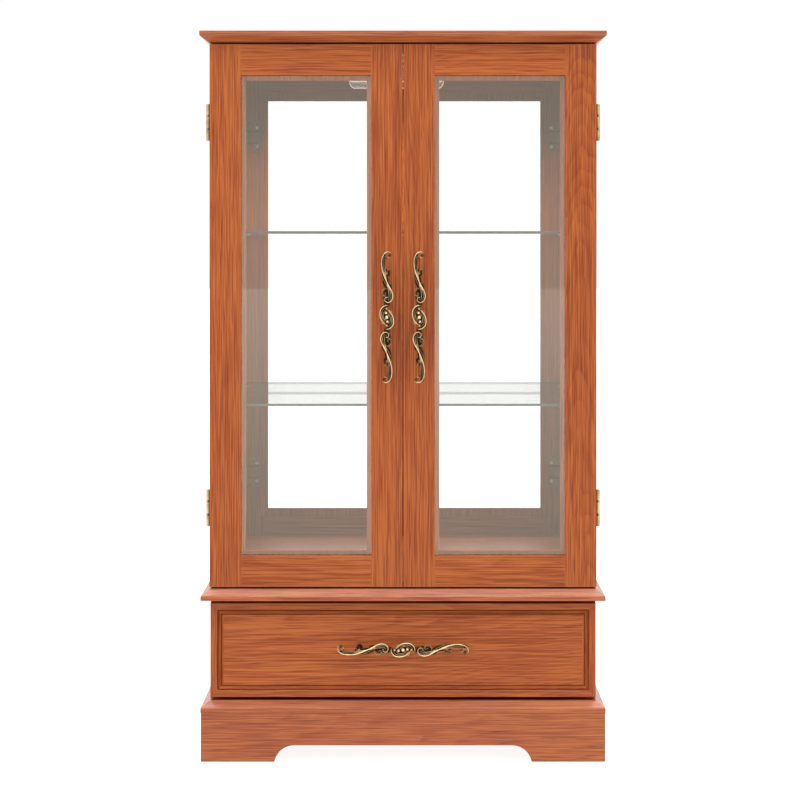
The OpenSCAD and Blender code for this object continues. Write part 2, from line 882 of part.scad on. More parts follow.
module roller(y) {
    color(white) both_sides() translate([roller_x - roller_w / 2, y, roller_z]) along_x()
        difference() {
            cylinder(h = roller_w, r = roller_r);
            translate([0, 0, -cut]) cylinder(h = roller_w + 2 * cut, r = rivet_r + slack);
        }
}
module front_rollers() { roller(front_roller_y); }
module rear_rollers() { roller(rear_roller_y); }

// ---------- the nodes ----------

top_board();
upper_left_side();
upper_right_side();
waist_board();
display_floor();
lower_left_side();
lower_right_side();
base_board();
plinth_front();
plinth_left();
plinth_right();
plinth_back();
corner_blocks();
mirror_glass();  // mirror
upper_back_panel();
lower_back_panel();
upper_shelf();
lower_shelf();
shelf_supports();
joint_dowels();
carcass_screws();
hinge_frame_leaves();
hinge_pins();
magnetic_catch();
lamp_base();
lamp_cover();
lamp_board();
cable_grommet();
cabinet_slides();
front_rollers();
left_outer_stile();
left_inner_stile();
left_top_rail();
left_bottom_rail();
left_glass();
left_glazing_beads();
left_door_leaves();
left_strike_plate();
left_handle();
left_door_fasteners();
right_outer_stile();
right_inner_stile();
right_top_rail();
right_bottom_rail();
right_glass();
right_glazing_beads();
right_door_leaves();
right_strike_plate();
right_handle();
right_door_fasteners();
drawer_front();
drawer_inner_front();
drawer_left_side();
drawer_right_side();
drawer_back();
drawer_bottom();
drawer_bolts();
drawer_slides();
drawer_handle();
rear_rollers();
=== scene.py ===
import math
import random

import bmesh
import bpy
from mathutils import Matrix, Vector


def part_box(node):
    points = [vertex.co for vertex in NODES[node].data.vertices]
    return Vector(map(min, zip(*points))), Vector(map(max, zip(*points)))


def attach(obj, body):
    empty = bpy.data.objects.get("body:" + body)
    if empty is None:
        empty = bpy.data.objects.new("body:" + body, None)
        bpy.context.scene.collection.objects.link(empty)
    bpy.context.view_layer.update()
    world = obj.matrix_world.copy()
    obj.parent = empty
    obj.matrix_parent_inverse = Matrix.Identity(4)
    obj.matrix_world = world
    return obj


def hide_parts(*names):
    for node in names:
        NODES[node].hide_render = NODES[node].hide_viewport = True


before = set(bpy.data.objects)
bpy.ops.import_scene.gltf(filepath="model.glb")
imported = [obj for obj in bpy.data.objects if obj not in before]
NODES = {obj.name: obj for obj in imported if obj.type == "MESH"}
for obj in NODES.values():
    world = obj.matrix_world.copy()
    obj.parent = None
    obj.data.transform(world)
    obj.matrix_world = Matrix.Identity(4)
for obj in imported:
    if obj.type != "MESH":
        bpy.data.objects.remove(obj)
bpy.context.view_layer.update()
scene = bpy.context.scene


def srgb(r, g, b):
    """An 8-bit sRGB colour as linear RGBA."""
    def lin(c):
        c = c / 255.0
        return c / 12.92 if c <= 0.04045 else ((c + 0.055) / 1.055) ** 2.4
    return (lin(r), lin(g), lin(b), 1.0)


# ---------- node helpers ----------

class Graph:
    """The node tree of a new material, or of the world, built with short calls."""

    def __init__(self, name, world=False):
        blocks = bpy.data.worlds if world else bpy.data.materials
        self.owner = blocks.new(name)
        self.owner.use_nodes = True
        self.tree = self.owner.node_tree
        self.tree.nodes.clear()
        self.out = self.node("OutputWorld" if world else "OutputMaterial")

    def put(self, socket, value):
        if isinstance(value, bpy.types.NodeSocket):
            self.tree.links.new(value, socket)
        else:
            socket.default_value = value

    def node(self, kind, inputs=(), **props):
        n = self.tree.nodes.new("ShaderNode" + kind)
        for key, value in props.items():
            setattr(n, key, value)
        for key, value in dict(inputs).items():
            self.put(n.inputs[key], value)
        return n

    def math(self, op, *values, clamp=False):
        inputs = dict(enumerate(values))
        return self.node("Math", inputs, operation=op, use_clamp=clamp).outputs[0]

    def vec(self, op, *values):
        return self.node("VectorMath", dict(enumerate(values)), operation=op).outputs["Vector"]

    def scale(self, a, factors):
        return self.vec("MULTIPLY", a, factors)

    def coords(self):
        return self.node("TexCoord").outputs["Object"]

    def normal(self):
        return self.node("TexCoord").outputs["Normal"]

    def split(self, vector):
        """A vector's x, y and z."""
        return self.node("SeparateXYZ", {0: vector}).outputs

    def noise(self, vector, scale=1.0, detail=2.0, rough=0.5, distortion=0.0):
        n = self.node("TexNoise", {"Vector": vector, "Scale": scale, "Detail": detail,
                                   "Roughness": rough, "Distortion": distortion})
        return n.outputs["Fac"]

    def ramp(self, fac, stops):
        n = self.node("ValToRGB", {0: fac})
        elements = n.color_ramp.elements
        while len(elements) < len(stops):
            elements.new(0.5)
        for e, (pos, col) in zip(elements, stops):
            e.position = pos
            e.color = col if len(col) == 4 else (*col, 1.0)
        return n.outputs["Color"]

    def span(self, fac, a0, a1, b0=0.0, b1=1.0):
        """Maps a0..a1 evenly to b0..b1, and holds the end values outside it."""
        n = self.node("MapRange", {"Value": fac, "From Min": a0, "From Max": a1,
                                   "To Min": b0, "To Max": b1})
        return n.outputs["Result"]

    def mix(self, fac, a, b):
        """One colour over another."""
        return self.node("Mix", {0: fac, 6: a, 7: b}, data_type="RGBA").outputs[2]

    def bump(self, height, distance, strength):
        inputs = {"Height": height, "Distance": distance, "Strength": strength}
        return self.node("Bump", inputs).outputs["Normal"]

    def blend(self, fac, a, b):
        """One shader over another."""
        return self.node("MixShader", {0: fac, 1: a, 2: b}).outputs[0]

    def surface(self, shader):
        self.tree.links.new(shader, self.out.inputs["Surface"])

    def principled(self, **inputs):
        named = {k.replace("_", " "): v for k, v in inputs.items()}
        self.surface(self.node("BsdfPrincipled", named).outputs[0])


# ---------- wood ----------

OAK_STAIN = (srgb(110, 45, 14), srgb(133, 63, 24), srgb(152, 82, 37))
OAK_PORE = srgb(88, 32, 9)
# The stain's usual place between its darkest colour, 0, and its lightest, 1.
OAK_TONE = 0.66
# Layers of the figure: noise scale across and along the grain, detail, roughness, strength.
OAK_LAYERS = {
    "fibre": (620, 9, 3.0, 0.6, 1.1),
    "dashes": (900, 12, 2.0, 0.6, 3.6),
    "streaks": (520, 2.2, 3.0, 0.6, 1.4),
    "bands": (11, 1.3, 1.0, 0.5, 0.55),
}
# How far slow waves and small ripples push the rings to and fro.
WAVE_PUSH, RIPPLE_PUSH = 0.06, 0.007
# The porous early wood along one ring, from its start to its end.
EARLY_WOOD = [(at, (grey,) * 3)
              for at, grey in ((0.0, 0.25), (0.08, 1), (0.3, 0.62), (0.72, 0.1), (1.0, 0.0))]
# How much it darkens the faintest ring and the strongest.
RING_DARK = (0.08, 0.34)
WEAR_WIDTH = 0.0035
# The sheen of the flat boards and of the rest, and how many times higher it is on their tops, a
# painted sheen for the light from above.
BOARD_SHEEN, DOOR_SHEEN, PAINTED_TOP_SHEEN = 0.3, 0.15, 2.2


def edge_mask(g, p, lo, hi, width):
    """1 along the edges of a box and 0 away from them."""
    centre = [(a + b) / 2 for a, b in zip(lo, hi)]
    half = [(b - a) / 2 for a, b in zip(lo, hi)]
    away = g.vec("SUBTRACT", half, g.vec("ABSOLUTE", g.vec("SUBTRACT", p, centre)))
    near = g.vec("SUBTRACT", (1, 1, 1), g.scale(away, (1 / width,) * 3))
    near = g.vec("MAXIMUM", near, (0, 0, 0))
    s = g.split(near)
    total = g.math("MULTIPLY", s[0], s[1])
    total = g.math("MULTIPLY_ADD", s[1], s[2], total)
    return g.math("MULTIPLY_ADD", s[2], s[0], total, clamp=True)


def oak(name, axis, seed, box, heart, tilt, pitch, stain=OAK_STAIN, pore=OAK_PORE, gloss=0.36,
        sheen=DOOR_SHEEN):
    """Stained oak with its grain along an axis. heart is where the tree's middle lies across the
    grain, measured from the board's middle. tilt is how fast the rings climb along the board, and
    pitch is the distance between them."""
    g = Graph(name)
    rng = random.Random(seed)
    p = g.coords()
    s = g.split(p)
    order = {"X": (1, 2, 0), "Y": (0, 2, 1), "Z": (0, 1, 2)}[axis]
    u, v, w = (g.math("SUBTRACT", s[k], (box[0][k] + box[1][k]) / 2) for k in order)
    q = g.node("CombineXYZ", {0: u, 1: v, 2: w}).outputs[0]
    jump = [rng.uniform(-40, 40) for _ in range(3)]

    def figure(across, along, detail=2.0, rough=0.5):
        """Noise stretched along the grain."""
        stretched = g.vec("ADD", g.scale(q, (across, across, along)), jump)
        return g.noise(stretched, detail=detail, rough=rough)

    du = g.math("SUBTRACT", u, heart[0])
    dv = g.math("SUBTRACT", v, heart[1])
    r = g.math("SQRT", g.math("MULTIPLY_ADD", du, du, g.math("MULTIPLY", dv, dv)))
    r = g.math("MULTIPLY_ADD", w, tilt, r)
    r = g.math("MULTIPLY_ADD", figure(7, 1.7), WAVE_PUSH, r)
    r = g.math("MULTIPLY_ADD", figure(42, 6), RIPPLE_PUSH, r)
    ring = g.math("DIVIDE", r, pitch)
    early = g.ramp(g.math("FRACT", ring), EARLY_WOOD)
    ring_tone = g.node("TexWhiteNoise", {"W": g.math("FLOOR", ring)},
                       noise_dimensions="1D").outputs["Value"]
    pores = g.span(figure(780, 17, 1.0), 0.56, 0.70)
    pores = g.math("MULTIPLY", pores, g.span(early, 0.05, 0.85, 0.22, 1.0))

    dark = g.math("MULTIPLY", early, g.span(ring_tone, 0.0, 1.0, *RING_DARK))
    t = g.math("SUBTRACT", OAK_TONE, dark)
    layers = {}
    for layer, (across, along, detail, rough, strength) in OAK_LAYERS.items():
        layers[layer] = figure(across, along, detail, rough)
        t = g.math("MULTIPLY_ADD", g.math("SUBTRACT", layers[layer], 0.5), strength, t)
    col = g.ramp(t, list(zip((0.0, 0.5, 1.0), stain)))
    col = g.mix(g.math("MULTIPLY", pores, 0.72), col, pore)
    edges = edge_mask(g, p, box[0], box[1], WEAR_WIDTH)
    wear = g.math("MULTIPLY", edges, g.span(g.noise(p, 60, 3.0), 0.35, 0.7, 0.12, 0.5))
    col = g.mix(wear, col, stain[2])

    rough = g.math("MULTIPLY_ADD", pores, 0.3, gloss)
    rough = g.math("MULTIPLY_ADD", g.noise(p, 26, 3.0), 0.12, rough)
    height = g.math("SUBTRACT", g.math("MULTIPLY", layers["fibre"], 0.25), pores)
    orange_peel = g.noise(p, 240, 1.0)
    height = g.math("MULTIPLY_ADD", orange_peel, 0.12, height)
    # tops get a painted sheen, higher than the rest, for the light from above; undersides are left
    # dull, as unpolished undersides are, which also keeps them dark where they show in shade
    up = g.split(g.normal())[2]
    polish_and_top_sheen = g.math("MULTIPLY", g.span(up, -0.97, -0.8),
                    g.span(up, 0.3, 0.6, sheen, sheen * PAINTED_TOP_SHEEN))
    g.principled(Base_Color=col, Roughness=rough, Normal=g.bump(height, 0.00012, 0.55),
                 Coat_Weight=g.math("MULTIPLY", polish_and_top_sheen, 0.6), Coat_Roughness=0.25,
                 Specular_IOR_Level=polish_and_top_sheen)
    return g.owner


def dress(node, mat):
    """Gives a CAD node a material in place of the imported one."""
    o = NODES[node]
    for s in o.material_slots:
        s.link = "OBJECT"
        s.material = mat


def ease(node, width, segments=2):
    """Rounds a node's sharp edges."""
    o = NODES[node]
    weld = o.modifiers.new("weld", "WELD")
    weld.merge_threshold = 1e-5
    bevel = o.modifiers.new("ease", "BEVEL")
    bevel.width = width
    bevel.segments = segments
    bevel.limit_method = "ANGLE"
    bevel.angle_limit = math.radians(30)
    bevel.use_clamp_overlap = True


# How wide the eased edges are.
BOARD_EDGE = 0.0009
PLAIN_EDGE = 0.0006
SHELF_EDGE = 0.0007
HINGE_EDGE = 0.0006
PLASTIC_EDGE = 0.0005
SLIDE_EDGE = 0.0002

# board: grain axis, heart of the tree, ring tilt, ring pitch
BOARDS = {
    "top_board": ("X", (0.02, -0.12), 0.03, 0.0045),
    "waist_board": ("X", (0.05, -0.10), 0.02, 0.0045),
    "base_board": ("X", (-0.03, 0.10), 0.02, 0.0045),
    "display_floor": ("X", (0.04, -0.09), 0.02, 0.005),
    "upper_left_side": ("Z", (0.10, 0.02), 0.045, 0.005),
    "upper_right_side": ("Z", (-0.10, -0.03), -0.045, 0.005),
    "lower_left_side": ("Z", (0.11, 0.03), 0.04, 0.005),
    "lower_right_side": ("Z", (-0.11, 0.02), 0.04, 0.005),
    "plinth_front": ("X", (0.14, 0.03), 0.03, 0.0045),
    "plinth_left": ("Y", (0.12, 0.03), 0.04, 0.0045),
    "plinth_right": ("Y", (-0.12, 0.02), 0.04, 0.0045),
    "plinth_back": ("X", (0.10, 0.03), 0.03, 0.0045),
    "left_outer_stile": ("Z", (-0.16, 0.035), 0.02, 0.0036),
    "left_inner_stile": ("Z", (0.15, 0.03), 0.025, 0.0036),
    "right_inner_stile": ("Z", (-0.14, 0.04), 0.03, 0.0036),
    "right_outer_stile": ("Z", (0.004, 0.055), 0.085, 0.0034),
    "left_top_rail": ("X", (0.12, 0.03), 0.03, 0.0036),
    "left_bottom_rail": ("X", (0.11, 0.05), -0.04, 0.0036),
    "right_top_rail": ("X", (0.10, 0.04), 0.05, 0.0036),
    "right_bottom_rail": ("X", (0.12, 0.02), 0.03, 0.0036),
    "drawer_front": ("X", (0.07, 0.07), 0.07, 0.0046),
}
for seed, (node, (axis, heart, tilt, pitch)) in enumerate(BOARDS.items(), start=3):
    flat = "board" in node or "plinth" in node
    dress(node, oak("oak_" + node, axis, seed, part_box(node), heart, tilt, pitch,
                    sheen=BOARD_SHEEN if flat else DOOR_SHEEN))
    ease(node, BOARD_EDGE)

# Unstained pieces, and the stained beads behind the panes: grain axis.
PLAIN_STAIN = (srgb(176, 140, 98), srgb(206, 172, 128), srgb(222, 194, 152))
PLAIN_PORE = srgb(140, 104, 70)
PLAIN_BOARDS = {
    "drawer_inner_front": "X", "drawer_left_side": "Y", "drawer_right_side": "Y",
    "drawer_back": "X", "corner_blocks": "Z", "joint_dowels": "Z",
    "left_glazing_beads": "Z", "right_glazing_beads": "Z",
}
for seed, (node, axis) in enumerate(PLAIN_BOARDS.items(), start=61):
    stain, pore = (OAK_STAIN, OAK_PORE) if "beads" in node else (PLAIN_STAIN, PLAIN_PORE)
    dress(node, oak("wood_" + node, axis, seed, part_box(node), (0.1, 0.06), 0.03, 0.004,
                    stain, pore, gloss=0.45))
    ease(node, PLAIN_EDGE)


def hardboard():
    """Brown hardboard: a smooth face with fine dark and light fibres pressed in it."""
    g = Graph("hardboard")
    p = g.coords()
    flecks = g.noise(g.scale(p, (900, 900, 900)), detail=4.0, rough=0.7)
    fibres = g.noise(p, 210, 4.0, 0.65, 1.5)
    cloud = g.noise(p, 7, 2.0)
    t = g.math("MULTIPLY_ADD", g.math("SUBTRACT", flecks, 0.5), 0.9,
               g.math("MULTIPLY_ADD", g.math("SUBTRACT", cloud, 0.5), 0.22, fibres), clamp=True)
    col = g.ramp(t, [(0.1, srgb(70, 44, 26)), (0.5, srgb(116, 78, 48)), (0.9, srgb(150, 108, 72))])
    rough = g.span(fibres, 0.3, 0.7, 0.5, 0.72)
    g.principled(Base_Color=col, Roughness=rough, Normal=g.bump(fibres, 0.0001, 0.6))
    return g.owner


BACK = hardboard()
for node in ("upper_back_panel", "lower_back_panel", "drawer_bottom"):
    dress(node, BACK)


# ---------- glass and mirror ----------

# A painted reflection on the panes that stands in for the studio's soft light: stronger at half
# height than at the foot and the head, between heights.
REFLECTION_FOOT, REFLECTION_FULL, REFLECTION_HEAD = 0.072, 0.124, 0.092
REFLECTION_RISE, REFLECTION_FALL = (0.34, 0.62), (0.75, 1.02)


def thin_glass(name, tint, shine_tint, edge_tint, edge_axis, painted_reflection=False):
    """Clear glass seen through its big faces, with darker green edges. edge_axis is the normal of the
    big faces. painted_reflection adds a painted reflection on the outer face, stronger at half
    height, that stands in for the studio's soft light."""
    g = Graph(name)
    p = g.coords()
    normal = g.normal()
    straight = g.split(g.vec("ABSOLUTE", normal))["XYZ".index(edge_axis)]
    face = g.span(straight, 0.55, 0.8)
    smear = g.noise(p, 9, 4.0, 0.6)
    front = g.math("SUBTRACT", 1.0, g.node("NewGeometry").outputs["Backfacing"])
    shine = g.math("MULTIPLY", g.node("Fresnel", {"IOR": 1.5}).outputs[0], front)
    if painted_reflection:
        # painted reflection: extra shine on the outer face, strongest at half height
        z = g.split(p)[2]
        bloom = g.math("MINIMUM", g.span(z, *REFLECTION_RISE, REFLECTION_FOOT, REFLECTION_FULL),
                       g.span(z, *REFLECTION_FALL, REFLECTION_FULL, REFLECTION_HEAD))
        outer = g.span(g.split(normal)[1], -0.5, 0.5, 1.0, 0.0)
        veil = g.math("MULTIPLY", outer, bloom)
        shine = g.math("MULTIPLY_ADD", veil, front, shine, clamp=True)
    clear = g.node("BsdfTransparent", {"Color": tint}).outputs[0]
    gloss = g.node("BsdfGlossy", {"Color": shine_tint,
                                  "Roughness": g.span(smear, 0.3, 0.8, 0.0, 0.035)}).outputs[0]
    pale_edge = tuple(min(1, c * 1.7) for c in edge_tint[:3])
    edge_col = g.ramp(g.noise(g.scale(p, (8, 8, 300)), detail=2.0),
                      [(0.3, edge_tint), (0.7, pale_edge)])
    edge = g.node("BsdfPrincipled", {"Base Color": edge_col, "Roughness": 0.12,
                                     "Transmission Weight": 0.12, "IOR": 1.5}).outputs[0]
    g.surface(g.blend(face, edge, g.blend(shine, clear, gloss)))
    return g.owner


PANE = thin_glass("pane_glass", tint=(0.985, 0.99, 0.985, 1), shine_tint=(1, 0.93, 0.77, 1),
                  edge_tint=srgb(70, 96, 84), edge_axis="Y", painted_reflection=True)
SHELF = thin_glass("shelf_glass", tint=(0.86, 0.865, 0.875, 1),
                   shine_tint=(0.62, 0.635, 0.665, 1), edge_tint=srgb(34, 46, 46), edge_axis="Z")
for node in ("left_glass", "right_glass"):
    dress(node, PANE)
for node in ("upper_shelf", "lower_shelf"):
    dress(node, SHELF)
    ease(node, SHELF_EDGE)


def mirror_glass():
    """A silvered mirror with a very slight haze."""
    g = Graph("mirror_glass")
    p = g.coords()
    haze = g.noise(p, 6, 3.0, 0.6)
    silver = g.ramp(haze, [(0.3, (0.955, 0.965, 0.96)), (0.7, (0.975, 0.98, 0.975))])
    g.principled(Base_Color=silver, Metallic=1.0, Roughness=g.span(haze, 0.3, 0.8, 0.004, 0.02))
    return g.owner


dress("mirror", mirror_glass())


# ---------- metal and plastic ----------

HINGE_LENGTH = 0.0525
KNUCKLE_HALF = 0.19 * HINGE_LENGTH
leaves_low, leaves_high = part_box("left_door_leaves")
HINGE_HEIGHTS = (leaves_low[2] + HINGE_LENGTH / 2, leaves_high[2] - HINGE_LENGTH / 2)
# Distances from the cabinet's middle: where leaf turns into knuckle, and where the painted shade at
# the knuckle gaps fades.
KNUCKLE_FROM = (0.2846, 0.2852)
GAP_SHADE_FADES = (0.2895, 0.2872)
# The painted shade in the dark gaps between the knuckles.
KNUCKLE_GAP_SHADE = srgb(44, 32, 18)


def hinge_brass():
    """Pale brass knuckles with painted shade in the gaps between them, on leaves gone brown."""
    g = Graph("hinge_brass")
    p = g.coords()
    s = g.split(p)
    across = g.math("ABSOLUTE", s[0])
    cloud = g.noise(p, 60, 4.0, 0.6)
    fine = g.noise(p, 900, 2.0)
    t = g.math("MULTIPLY_ADD", g.math("SUBTRACT", fine, 0.5), 0.35, cloud, clamp=True)
    pale = g.ramp(t, [(0.3, srgb(144, 126, 90)), (0.62, srgb(198, 180, 142))])
    brown = g.ramp(t, [(0.3, srgb(96, 66, 42)), (0.62, srgb(124, 88, 58))])
    knuckle = g.span(across, *KNUCKLE_FROM)
    # bands of painted shade where the knuckles meet
    joint_shades = []
    for centre in HINGE_HEIGHTS:
        away = g.math("ABSOLUTE", g.math("SUBTRACT", s[2], centre))
        off = g.math("ABSOLUTE", g.math("SUBTRACT", away, KNUCKLE_HALF))
        joint_shades.append(g.span(off, 0.0011, 0.0021, 1.0, 0.0))
    # the painted shade is darkest on the side next to the door
    gap_shade = g.math("MULTIPLY", g.math("MAXIMUM", *joint_shades), g.span(across, *GAP_SHADE_FADES, 0.45, 1.0))
    g.principled(Base_Color=g.mix(gap_shade, g.mix(knuckle, brown, pale), KNUCKLE_GAP_SHADE),
                 Metallic=g.math("MULTIPLY_ADD", knuckle, 0.4, 0.55),
                 Roughness=g.span(cloud, 0.3, 0.7, 0.42, 0.28),
                 Normal=g.bump(fine, 0.00003, 0.4))
    return g.owner


HINGE = hinge_brass()
for node in ("hinge_frame_leaves", "hinge_pins", "left_door_leaves", "right_door_leaves"):
    dress(node, HINGE)
    ease(node, HINGE_EDGE, 3)


def cast_brass():
    """Antique casting: dark patina in the hollows, rubbed bright on the ridges."""
    g = Graph("cast_antique_brass")
    p = g.coords()
    high = g.node("Attribute", attribute_name="relief").outputs["Fac"]
    cloud = g.noise(p, 150, 4.0, 0.6)
    pits = g.noise(p, 1400, 2.0)
    rub = g.math("MULTIPLY_ADD", g.math("SUBTRACT", cloud, 0.5), 0.7, high)
    col = g.ramp(g.span(rub, 0.0, 3.4), [(0.3, srgb(38, 26, 15)), (0.52, srgb(66, 46, 28)),
                                         (0.66, srgb(122, 95, 62)), (0.8, srgb(214, 190, 148))])
    rough = g.span(rub, 1.0, 3.0, 0.55, 0.3)
    g.principled(Base_Color=col, Metallic=0.9, Roughness=rough,
                 Normal=g.bump(pits, 0.00005, 0.5))
    return g.owner


ANTIQUE = cast_brass()


def steel():
    """Zinc plate with its spangle."""
    g = Graph("zinc_steel")
    p = g.coords()
    spangle = g.noise(p, 700, 3.0, 0.7)
    wash = g.noise(p, 40, 2.0)
    col = g.ramp(g.math("MULTIPLY_ADD", wash, 0.4, g.math("MULTIPLY", spangle, 0.6)),
                 [(0.3, srgb(160, 163, 168)), (0.5, srgb(190, 192, 194)), (0.7, srgb(214, 206, 180))])
    g.principled(Base_Color=col, Metallic=1.0, Roughness=g.span(spangle, 0.3, 0.7, 0.26, 0.42),
                 Normal=g.bump(spangle, 0.00003, 0.5))
    return g.owner


STEEL = steel()
for node in ("shelf_supports", "carcass_screws", "left_door_fasteners", "right_door_fasteners",
             "drawer_bolts", "left_strike_plate", "right_strike_plate"):
    dress(node, STEEL)


def plastic(name, light, dark, rough=0.4, bump=0.00004):
    """Moulded plastic or powder coating with a fine grain."""
    g = Graph(name)
    p = g.coords()
    grain = g.noise(p, 1500, 2.0)
    flow = g.noise(p, 30, 3.0)
    col = g.ramp(g.math("MULTIPLY_ADD", g.math("SUBTRACT", grain, 0.5), 0.2, flow),
                 [(0.3, dark), (0.65, light)])
    g.principled(Base_Color=col, Roughness=g.span(flow, 0.3, 0.7, rough, rough + 0.12),
                 Normal=g.bump(grain, bump, 0.6))
    return g.owner


WHITE = plastic("white_plastic", srgb(238, 237, 231), srgb(224, 222, 214))
DARK = plastic("dark_plastic", srgb(58, 42, 33), srgb(44, 32, 26))
COATED = plastic("slide_coating", srgb(232, 229, 218), srgb(220, 216, 204), 0.34, 0.00006)
for node in ("front_rollers", "rear_rollers", "lamp_base"):
    dress(node, WHITE)
    ease(node, PLASTIC_EDGE)
dress("cable_grommet", DARK)
dress("magnetic_catch", DARK)
ease("magnetic_catch", PLASTIC_EDGE)
for node in ("cabinet_slides", "drawer_slides"):
    dress(node, COATED)
    ease(node, SLIDE_EDGE)


def diffuser():
    """The lamp's cover: hazy clear plastic."""
    g = Graph("lamp_diffuser")
    p = g.coords()
    haze = g.noise(p, 90, 3.0)
    glow = g.node("BsdfTranslucent", {"Color": srgb(230, 224, 214)}).outputs[0]
    body = g.node("BsdfPrincipled", {"Base Color": srgb(214, 206, 196), "Roughness": 0.18,
                                     "Normal": g.bump(haze, 0.0001, 0.3)}).outputs[0]
    clear = g.node("BsdfTransparent", {"Color": (0.93, 0.93, 0.92, 1)}).outputs[0]
    g.surface(g.blend(g.span(haze, 0.3, 0.7, 0.2, 0.3), clear, g.blend(0.45, body, glow)))
    return g.owner


dress("lamp_cover", diffuser())


def leds():
    """The lamp board: white, with the lamps themselves glowing warm."""
    g = Graph("lamp_board")
    p = g.coords()
    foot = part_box("lamp_board")[0][2]
    lit = g.span(g.split(p)[2], foot + 0.0009, foot + 0.0011, 1.0, 0.0)
    spots = g.noise(p, 300, 2.0)
    col = g.ramp(spots, [(0.3, srgb(226, 224, 214)), (0.7, srgb(242, 240, 232))])
    g.principled(Base_Color=col, Roughness=0.45, Emission_Color=srgb(255, 226, 178),
                 Emission_Strength=g.math("MULTIPLY", lit, 4.0))
    return g.owner


dress("lamp_board", leds())


# ---------- shapes made here ----------

MM = 0.001
# The doors' and the drawer's front faces, which the pulls stand on.
DOOR_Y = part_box("right_inner_stile")[0][1]


def skin(bm, rings):
    """Faces from each ring of points to the next, with a cap on both ends."""
    sides = len(rings[0])
    for a, b in zip(rings, rings[1:]):
        for k in range(sides):
            bm.faces.new((a[k], a[(k + 1) % sides], b[(k + 1) % sides], b[k]))
    bm.faces.new(rings[0][::-1])
    bm.faces.new(rings[-1])


def add_piece(name, bm, mat, body, node=None):
    """A new piece that rides on a body, and stands for a CAD node if one is named."""
    mesh = bpy.data.meshes.new(name)
    bmesh.ops.recalc_face_normals(bm, faces=bm.faces)
    bm.to_mesh(mesh)
    bm.free()
    o = bpy.data.objects.new(name, mesh)
    scene.collection.objects.link(o)
    mesh.materials.append(mat)
    if node:
        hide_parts(node)
    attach(o, body)
    return o


# The drawer front's profile, as how far in from its edge and how deep from its face (mm).
DRAWER_PROFILE = [
    (0.0, 18.0), (0.0, 1.6), (0.15, 0.95), (0.5, 0.4), (1.1, 0.08), (1.7, 0.0), (9.4, 0.0),
    (9.9, 0.3), (10.4, 1.5), (10.9, 3.2), (11.4, 3.4), (11.8, 2.4), (12.3, 1.3), (12.9, 0.7),
    (13.4, 0.6), (13.7, 0.9), (13.95, 1.5), (14.2, 0.9), (14.5, 0.6), (15.0, 0.7), (15.5, 1.4),
    (16.0, 2.7), (16.4, 3.5), (16.9, 3.3), (17.4, 2.0), (18.0, 1.0), (18.8, 0.7), (19.6, 0.6),
]


def moulded_drawer_front():
    """The drawer's front with its routed moulding, the end bands in grain that runs upwards."""
    (x0, y0, z0), (x1, _, z1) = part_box("drawer_front")
    bm = bmesh.new()
    loops = []
    for inset, depth in DRAWER_PROFILE:
        i, y = inset * MM, y0 + depth * MM
        loops.append([bm.verts.new(c) for c in ((x0 + i, y, z0 + i), (x1 - i, y, z0 + i),
                                                (x1 - i, y, z1 - i), (x0 + i, y, z1 - i))])
    for a, b in zip(loops, loops[1:]):
        for k in range(4):
            face = bm.faces.new((a[k], a[(k + 1) % 4], b[(k + 1) % 4], b[k]))
            face.material_index = k % 2
    bm.faces.new(loops[-1])
    bm.faces.new(loops[0][::-1])
    mat = NODES["drawer_front"].material_slots[0].material
    o = add_piece("moulded_drawer_front", bm, mat, "drawer", "drawer_front")
    o.data.materials.append(oak("oak_drawer_ends", "Z", 57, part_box("drawer_front"), (0.1, 0.05),
                                0.03, 0.0036))


moulded_drawer_front()


def smooth_path(points, steps=7):
    """Points on a smooth curve through the given points (each a tuple of any length)."""
    out = []
    n = len(points)
    for i in range(n - 1):
        a, b = points[max(i - 1, 0)], points[i]
        c, d = points[i + 1], points[min(i + 2, n - 1)]
        for k in range(steps):
            t = k / steps
            out.append(tuple(0.5 * (2 * q + (r - p) * t + (2 * p - 5 * q + 4 * r - s) * t * t
                                    + (3 * q - p - 3 * r + s) * t ** 3)
                             for p, q, r, s in zip(a, b, c, d)))
    out.append(tuple(points[-1]))
    return out


def add_tube(bm, path, flat=0.9, sides=14):
    """A tube along points of (across, up, out, radius), in mm, with round ends."""
    pts = [Vector(p[:3]) for p in path]
    radii = [p[3] for p in path]
    first, last = (pts[1] - pts[0]).normalized(), (pts[-1] - pts[-2]).normalized()
    # how far past the last point, and how wide there, in radii
    ends = ((0.35, 0.93), (0.75, 0.66), (0.96, 0.28))
    head = [(pts[0] - first * radii[0] * a, radii[0] * b) for a, b in reversed(ends)]
    tail = [(pts[-1] + last * radii[-1] * a, radii[-1] * b) for a, b in ends]
    spine = head + list(zip(pts, radii)) + tail
    rings = []
    for i, (p, r) in enumerate(spine):
        way = (spine[min(i + 1, len(spine) - 1)][0] - spine[max(i - 1, 0)][0]).normalized()
        side = Vector((0, 0, 1)).cross(way)
        side = side.normalized() if side.length > 1e-4 else Vector((1, 0, 0))
        up = way.cross(side).normalized()
        rings.append([bm.verts.new(p + side * (r * math.cos(a)) + up * (r * flat * math.sin(a)))
                      for a in (2 * math.pi * k / sides for k in range(sides))])
    skin(bm, rings)


def add_ball(bm, centre, radii):
    """An ellipsoid."""
    made = bmesh.ops.create_icosphere(bm, subdivisions=3, radius=1.0)["verts"]
    for v in made:
        v.co = Vector((v.co.x * radii[0] + centre[0], v.co.y * radii[1] + centre[1],
                       v.co.z * radii[2] + centre[2]))


# How far the casting stands from the door, how much closer its ends are, and half its length, mm.
STAND_OFF, END_DROP, HALF_LENGTH = 22.6, 4.2, 95.0


def bow_height(up):
    """How far the casting stands from the door at this height on it."""
    return STAND_OFF - END_DROP * (abs(up) / HALF_LENGTH) ** 2


